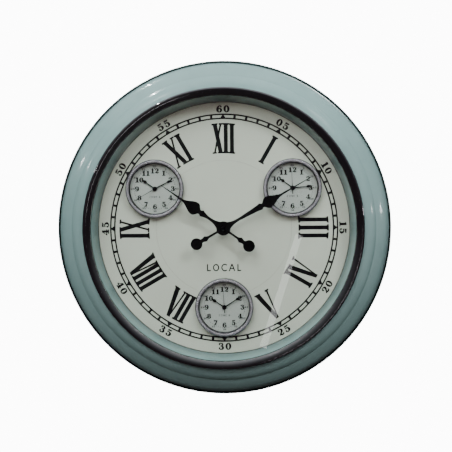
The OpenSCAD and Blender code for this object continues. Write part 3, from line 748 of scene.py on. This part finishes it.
LETTERS = {
    "A": pen((0.0, 0.0, HAIR), (0.38, 1.0, HAIR)) + pen((0.38, 1.0, HAIR), (0.76, 0.0, HAIR))
         + bar(0.13, 0.30, 0.63, 0.30 + HAIR),
    "C": pen((0.78, 0.84, HAIR), (0.55, 0.95, HAIR), (0.25, 0.86, HAIR), (0.07, 0.5, HAIR),
             (0.25, 0.14, HAIR), (0.55, 0.05, HAIR), (0.78, 0.16, HAIR)),
    "E": bar(0.0, 0.0, HAIR, 1.0) + bar(0.0, 0.0, 0.56, HAIR) + bar(0.0, 0.47, 0.50, 0.47 + HAIR)
         + bar(0.0, 1.0 - HAIR, 0.56, 1.0),
    "L": bar(0.0, 0.0, HAIR, 1.0) + bar(0.0, 0.0, 0.54, HAIR),
    "N": bar(0.0, 0.0, HAIR, 1.0) + bar(0.66 - HAIR, 0.0, 0.66, 1.0)
         + plate((0.0, 1.0), (0.0, 0.88), (0.66 - HAIR, 0.0), (0.66, 0.0), (0.66, 0.12), (HAIR, 1.0)),
    "O": ring(0.44, 0.5, 0.44, 0.51, 0.44 - HAIR, 0.51 - HAIR),
    "Z": bar(0.0, 0.0, 0.64, HAIR) + bar(0.0, 1.0 - HAIR, 0.64, 1.0)
         + plate((0.0, 0.0), (HAIR, 0.0), (0.64, 1.0), (0.64 - HAIR, 1.0)),
}


def scaled(faces, size, x=0.0, y=0.0):
    return [[(px * size + x, py * size + y) for px, py in face] for face in faces]


DIGITS = {name: scaled(union(faces), 1 / (1 + 2 * WEIGHT), WEIGHT, WEIGHT)
          for name, faces in DIGITS.items()}
LETTERS = {name: union(faces) for name, faces in LETTERS.items()}


WORD_SPACE = 0.5


def line_of(text, glyphs, gap):
    """Faces of a row of glyphs, centred on the origin, one unit high."""
    row, at = [], 0.0
    for letter in text:
        if letter == " ":
            at += WORD_SPACE
            continue
        shape = glyphs.get(letter) or DIGITS[letter]
        row += [[(x + at, y - 0.5) for x, y in face] for face in shape]
        at += max(x for face in shape for x, y in face) + gap
    middle_x = (at - gap) / 2
    return [[(x - middle_x, y) for x, y in face] for face in row]


# Roman numerals, in metres: height, thick and thin strokes, serif thickness and overhang
ROMAN_H = 46.5 * MM
THICK = 6.0 * MM
THIN = 2.9 * MM
SERIF_T = 2.3 * MM
SERIF = 1.9 * MM
BRACKET = 1.6 * MM


def serif(x, half, up):
    """A flat serif on a stroke's end at x, with small curved brackets under it."""
    foot = ROMAN_H / 2 if up else -ROMAN_H / 2
    inward = -1 if up else 1
    faces = [[(x - half - SERIF, foot), (x + half + SERIF, foot),
              (x + half + SERIF, foot + inward * SERIF_T), (x - half - SERIF, foot + inward * SERIF_T)]]
    for edge in (-1, 1):
        corner = (x + edge * half, foot + inward * SERIF_T)
        hollow = [(corner[0] + edge * BRACKET * (1 - math.sin(a)),
                   corner[1] + inward * BRACKET * (1 - math.cos(a)))
                  for a in (0.0, 0.4, 0.8, 1.2, math.pi / 2)]
        faces += [[corner, p, q] for p, q in zip(hollow, hollow[1:])]
    return faces


def slanted(x_top, x_foot, width_top, width_foot):
    """A straight stroke from the top line to the foot line."""
    top, foot = ROMAN_H / 2, -ROMAN_H / 2
    return [[(x_foot - width_foot / 2, foot), (x_foot + width_foot / 2, foot),
             (x_top + width_top / 2, top), (x_top - width_top / 2, top)]]


def roman_i(x):
    return slanted(x, x, THICK, THICK) + serif(x, THICK / 2, True) + serif(x, THICK / 2, False)


def roman_x(x, spread):
    """Thick stroke from upper left to lower right, thin stroke across it."""
    half = spread / 2
    return (slanted(x - half, x + half, THICK * 1.06, THICK * 1.06)
            + slanted(x + half, x - half, THIN, THIN)
            + serif(x - half, THICK / 2, True) + serif(x + half, THIN / 2, True)
            + serif(x - half, THIN / 2, False) + serif(x + half, THICK / 2, False))


def roman_v(x, spread):
    """Thick left stroke and thin right stroke that meet in a point at the foot."""
    left, right = x - spread / 2, x + spread / 2
    tip = x + spread * 0.1
    return (slanted(left, tip, THICK * 1.25, THICK * 0.95)
            + slanted(right, tip + THIN * 0.3, THIN, THIN * 0.7)
            + serif(left, THICK / 2, True) + serif(right, THIN / 2, True))


def joined(x0, x1, *ends):
    """Bars that join the serifs of neighbouring strokes; ends are +1 for the top, -1 for the foot."""
    return [face for end in ends
            for face in bar(x0, end * ROMAN_H / 2 - end * SERIF_T, x1, end * ROMAN_H / 2)]


PITCH = 9.4 * MM
WIDE_PITCH = 12.3 * MM
ROMANS = {
    12: roman_x(-8.2 * MM, 9.6 * MM) + roman_i(4.2 * MM) + roman_i(4.2 * MM + PITCH)
        + joined(-3.4 * MM, 4.2 * MM + PITCH, 1, -1),
    1: roman_i(0.0),
    3: roman_i(-WIDE_PITCH) + roman_i(0.0) + roman_i(WIDE_PITCH),
    4: roman_i(-10.6 * MM) + roman_v(5.0 * MM, 15.2 * MM) + joined(-10.6 * MM, -2.6 * MM, 1),
    5: roman_v(0.0, 16.5 * MM),
    7: roman_v(-9.4 * MM, 14.0 * MM) + roman_i(3.6 * MM) + roman_i(3.6 * MM + PITCH)
       + joined(-2.4 * MM, 3.6 * MM + PITCH, 1) + joined(3.6 * MM, 3.6 * MM + PITCH, -1),
    8: roman_v(-12.6 * MM, 11.6 * MM) + roman_i(-2.6 * MM) + roman_i(-2.6 * MM + PITCH)
       + roman_i(-2.6 * MM + 2 * PITCH) + joined(-6.8 * MM, -2.6 * MM + 2 * PITCH, 1)
       + joined(-2.6 * MM, -2.6 * MM + 2 * PITCH, -1),
    9: roman_i(-11.0 * MM) + roman_x(4.4 * MM, 13.2 * MM),
    11: roman_x(-5.6 * MM, 13.2 * MM) + roman_i(10.0 * MM),
}
ROMANS = {hour: scaled(union(scaled(faces, 1 / MM)), MM) for hour, faces in ROMANS.items()}
ROMAN_R = 138.3 * MM
UPSIDE_DOWN = (4, 5, 7, 8)


def on_dial(faces, degrees, radius, flip):
    """Carries faces to a place on the main dial, clockwise from twelve, bowed a little with the circle."""
    a = math.radians(degrees)
    carried = []
    for face in faces:
        points = []
        for x, y in face:
            if flip:
                x, y = -x, -y
            out = math.sqrt(radius * radius - x * x) + y
            points.append((x * math.cos(a) + out * math.sin(a), out * math.cos(a) - x * math.sin(a)))
        carried.append(points)
    return carried


def circle_band(r, width, steps=240, keep=None):
    """Faces of a thin circle; keep(x, y) says which of its stretches are printed."""
    turn = [2 * math.pi * k / steps for k in range(steps + 1)]
    faces = []
    for a, b in zip(turn, turn[1:]):
        if keep is None or keep(r * math.cos((a + b) / 2), r * math.sin((a + b) / 2)):
            faces.append([((r + d) * math.cos(c), (r + d) * math.sin(c))
                          for c, d in ((a, width / 2), (b, width / 2), (b, -width / 2), (a, -width / 2))])
    return faces


INK_H = 0.07 * MM                       # thickness of the ink


def printed(name, faces, height, material):
    """Ink as a thin solid on a dial whose face is at a height over the wall."""
    mesh = bpy.data.meshes.new(name)
    bm = bmesh.new()
    corners = {}
    edges = set()
    made = set()
    for face in faces:
        keys = [(round(x, 7), round(y, 7)) for x, y in face]
        if len(set(keys)) < len(keys) or frozenset(keys) in made:
            continue
        made.add(frozenset(keys))
        for key in keys:
            if key not in corners:
                corners[key] = [bm.verts.new((key[0], -z, key[1])) for z in (height, height + INK_H)]
        bm.faces.new([corners[key][1] for key in keys])
        bm.faces.new([corners[key][0] for key in reversed(keys)])
        edges.update(zip(keys, keys[1:] + keys[:1]))
    for a, b in edges:
        if (b, a) not in edges:
            bm.faces.new((corners[b][1], corners[a][1], corners[a][0], corners[b][0]))
    bmesh.ops.recalc_face_normals(bm, faces=bm.faces)
    bm.to_mesh(mesh)
    bm.free()
    return place_piece(piece_of(mesh, MATERIALS[material]), "clock", INK_SLOT)


def minute_track():
    """Two circles, a cross tick at each minute and a solid triangle at every fifth."""
    outer, inner, line, tick = 174.9 * MM, 168.7 * MM, 2.3 * MM, 3.6 * MM
    foot, top = inner + line / 2 - ROMAN_R, outer - line / 2 - ROMAN_R
    faces = circle_band(outer, line) + circle_band(inner, line)
    for minute in range(60):
        if minute % 5:
            mark = bar(-tick / 2, foot, tick / 2, top)
        else:
            mark = plate((-3.9 * MM, foot), (3.9 * MM, foot), (0.9 * MM, top), (-0.9 * MM, top))
        faces += on_dial(mark, minute * 6, ROMAN_R, False)
    return faces


def minute_numbers():
    """Two digits at every fifth minute, upside down along the lower half."""
    radius, size, gap = 183.2 * MM, 11 * MM, 0.17
    faces = []
    for minute in range(5, 61, 5):
        number = scaled(line_of(f"{minute:02d}", DIGITS, gap), size)
        faces += on_dial(number, minute * 6, radius, 20 <= minute <= 40)
    return faces


def roman_numerals():
    return [face for hour, shape in ROMANS.items()
            for face in on_dial(shape, hour * 30, ROMAN_R, hour in UPSIDE_DOWN)]


def label():
    size, down, gap = 11 * MM, 61 * MM, 0.3
    return scaled(line_of("LOCAL", LETTERS, gap), size, 0.0, -down)


def inner_circle():
    """A pale hairline, broken where the insert clocks stand."""
    radius, width, insert_r = 104.5 * MM, 0.6 * MM, 42 * MM

    def seen(x, y):
        return all(math.hypot(x - at[0], y - at[1]) > insert_r for at in INSERT_AT)

    return circle_band(radius, width, keep=seen)


printed("main_track", minute_track(), DIAL_Z, "ink")
printed("main_minutes", minute_numbers(), DIAL_Z, "ink")
printed("main_numerals", roman_numerals(), DIAL_Z, "ink")
printed("main_label", label(), DIAL_Z, "ink")
printed("inner_circle", inner_circle(), DIAL_Z, "fine_ink")


def around_insert(x, y, text, minute, radius, size, gap):
    a = math.radians(minute * 6)
    return scaled(line_of(text, DIGITS, gap), size, x + radius * math.sin(a), y + radius * math.cos(a))


def insert_hours(x, y):
    """Upright hours, each centred on its place."""
    radius, size, gap = 27.6 * MM, 7.7 * MM, 0.06
    return [face for hour in range(1, 13)
            for face in around_insert(x, y, str(hour), hour * 5, radius, size, gap)]


def insert_fine_print(x, y, number):
    """A dotted minute track, small five-minute numbers and the zone's number."""
    track_r, small_dot, large_dot = 31.6 * MM, 0.6 * MM, 0.9 * MM
    number_r, number_size, number_gap = 34.4 * MM, 2.9 * MM, 0.1
    label_size, label_down, label_gap = 3.0 * MM, 12.5 * MM, 0.42
    faces = []
    for minute in range(60):
        a = math.radians(minute * 6)
        r = small_dot if minute % 5 else large_dot
        faces += scaled(dot(0, 0, 1.0, 8), r, x + track_r * math.sin(a), y + track_r * math.cos(a))
    for minute in range(5, 61, 5):
        faces += around_insert(x, y, str(minute), minute, number_r, number_size, number_gap)
    zone = line_of(f"ZONE {number}", LETTERS, label_gap)
    return faces + scaled(zone, label_size, x, y - label_down)


for number, (side, (x, y, _)) in enumerate(zip(SIDES, INSERT_AT), 1):
    face_z = -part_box(f"{side}_dial")[0].y
    printed(f"{side}_hours", insert_hours(x, y), face_z, "ink")
    printed(f"{side}_minutes", insert_fine_print(x, y, number), face_z, "grey_ink")


# ---------------------------------------------------------------- floor, lights, room, camera

def plane(name, corners, material):
    mesh = bpy.data.meshes.new(name)
    mesh.from_pydata(corners, [], [(0, 1, 2, 3)])
    piece = piece_of(mesh, material)
    return piece


BACKDROP = 12.0                         # brightness of the floor and of what is behind the clock
FLOOR_Z = -1.3
HALF = 2.5


def floor_paint():
    """Plain pale floor that keeps the backdrop's tone."""
    t = Tree("floor_paint")
    t.colour(t.ramp(t.noise(1.5), (0.3, 0.86), (0.7, 0.88)))
    t.set(Roughness=0.9, Specular_IOR_Level=0.1,
          Emission_Color=(1.0, 1.0, 1.0, 1.0), Emission_Strength=BACKDROP)
    return t.material


floor = plane("floor", [(-HALF, -HALF, FLOOR_Z), (HALF, -HALF, FLOOR_Z), (HALF, HALF, FLOOR_Z),
                        (-HALF, HALF, FLOOR_Z)], floor_paint())
floor.visible_diffuse = False
floor.visible_glossy = False
floor.visible_transmission = False


WHITE = (1.0, 1.0, 1.0)
WARM = (1.0, 0.80, 0.77)


def soft_box(name, at, aim, size, power, colour=WHITE):
    """An area lamp, unseen by the camera, that faces a point."""
    light = bpy.data.lights.new(name, "AREA")
    light.shape = "RECTANGLE"
    light.size, light.size_y = size
    light.energy = power
    light.color = colour
    lamp = bpy.data.objects.new(name, light)
    bpy.context.scene.collection.objects.link(lamp)
    lamp.location = at
    lamp.visible_camera = False
    lamp.rotation_mode = "QUATERNION"
    lamp.rotation_quaternion = (Vector(aim) - Vector(at)).to_track_quat("-Z", "Y")
    return lamp


def without_gleam(lamp):
    """Keeps a broad lamp out of the gloss, where it would be a wide white patch."""
    lamp.visible_glossy = False
    lamp.visible_transmission = False


CENTRE = Vector((0, -0.05, 0))
LAMP_AWAY = 1.7


def lamp_at(right, up, out):
    """A lamp's place in a direction from the clock's middle."""
    return CENTRE + Vector((right, -out, up)).normalized() * LAMP_AWAY


KEY_LEFT = (-0.39, 0.69, 0.61)
KEY_RIGHT = (0.53, 0.62, 0.58)
# name, direction, size, power and colour. A gleam only shows as a streak in the gloss. The others only shade.
LAMPS = (
    ("key_left", KEY_LEFT, (1.2, 1.2), 29, WHITE),
    ("key_right", KEY_RIGHT, (0.35, 0.35), 16, WHITE),
    ("gleam_left", KEY_LEFT, (0.32, 0.03), 6, WHITE),
    ("gleam_right", KEY_RIGHT, (0.14, 0.05), 2, WHITE),
    ("gleam_high", (-0.49, 0.87, 0.02), (0.36, 0.03), 5, WHITE),
    ("gleam_far_left", (-0.88, 0.38, 0.28), (0.06, 0.09), 0.7, WHITE),
    ("gleam_far_right", (0.96, 0.09, 0.28), (0.06, 0.08), 0.6, WHITE),
    ("front_fill", (0.0, 0.25, 1.0), (1.2, 1.2), 8.5, WARM),
    ("overhead", (0.0, 0.95, 0.3), (1.1, 1.1), 13, WHITE),
)
for name, direction, size, power, colour in LAMPS:
    lamp = soft_box(name, lamp_at(*direction), CENTRE, size, power, colour)
    if name.startswith("gleam"):
        lamp.visible_diffuse = False
    else:
        without_gleam(lamp)
soft_box("back_fill", (0.7, 1.9, 1.1), (0, 0, 0), (1.4, 1.4), 45)
# the slanting streak on the front glass
STRIP_TILT = math.radians(-17.6)
strip = soft_box("glass_strip", (0.2525, -3.0, -0.4955), CENTRE, (0.045, 0.75), 0.3)
strip.rotation_quaternion = strip.rotation_quaternion @ Quaternion((0, 0, 1), STRIP_TILT)


def studio_world():
    """White to the camera; the gloss and the shadows see a dark room with a paler ceiling."""
    world = bpy.data.worlds.new("studio")
    bpy.context.scene.world = world
    world.use_nodes = True
    tree = world.node_tree
    background = tree.nodes["Background"]
    place = tree.nodes.new("ShaderNodeTexCoord")
    split = tree.nodes.new("ShaderNodeSeparateXYZ")
    ramp = tree.nodes.new("ShaderNodeValToRGB")
    path = tree.nodes.new("ShaderNodeLightPath")
    mix = tree.nodes.new("ShaderNodeMix")
    mix.data_type = "RGBA"
    height = tree.nodes.new("ShaderNodeMapRange")
    height.inputs["From Min"].default_value = -1.0
    tree.links.new(place.outputs["Generated"], split.inputs["Vector"])
    tree.links.new(split.outputs["Z"], height.inputs["Value"])
    tree.links.new(height.outputs["Result"], ramp.inputs["Fac"])
    stops = ((0.0, (0.02, 0.018, 0.018)), (0.5, (0.022, 0.017, 0.021)), (0.7, (0.10, 0.105, 0.11)),
             (1.0, (0.45, 0.46, 0.47)))
    while len(ramp.color_ramp.elements) < len(stops):
        ramp.color_ramp.elements.new(0.5)
    for element, (position, colour) in zip(ramp.color_ramp.elements, stops):
        element.position = position
        element.color = (*colour, 1)
    inputs = [s for s in mix.inputs if s.enabled]
    tree.links.new(path.outputs["Is Camera Ray"], inputs[0])
    tree.links.new(ramp.outputs["Color"], inputs[1])
    inputs[2].default_value = (BACKDROP, BACKDROP, BACKDROP, 1)
    result = [s for s in mix.outputs if s.enabled][0]
    tree.links.new(result, background.inputs["Color"])


studio_world()

camera_data = bpy.data.cameras.new("camera")
camera_data.lens = 85
camera = bpy.data.objects.new("camera", camera_data)
bpy.context.scene.collection.objects.link(camera)
CAMERA_AZIMUTH = math.radians(2.0)
CAMERA_ELEVATION = math.radians(1.8)
CAMERA_DISTANCE = 1.653
CAMERA_ROLL = math.radians(-0.45)
TARGET = Vector((0.0032, -0.045, 0.0029))
back = Vector((math.sin(CAMERA_AZIMUTH) * math.cos(CAMERA_ELEVATION),
               -math.cos(CAMERA_AZIMUTH) * math.cos(CAMERA_ELEVATION), math.sin(CAMERA_ELEVATION)))
camera.location = TARGET + back * CAMERA_DISTANCE
camera.rotation_mode = "QUATERNION"
camera.rotation_quaternion = (-back).to_track_quat("-Z", "Y") @ Quaternion((0, 0, 1), CAMERA_ROLL)
bpy.context.scene.camera = camera
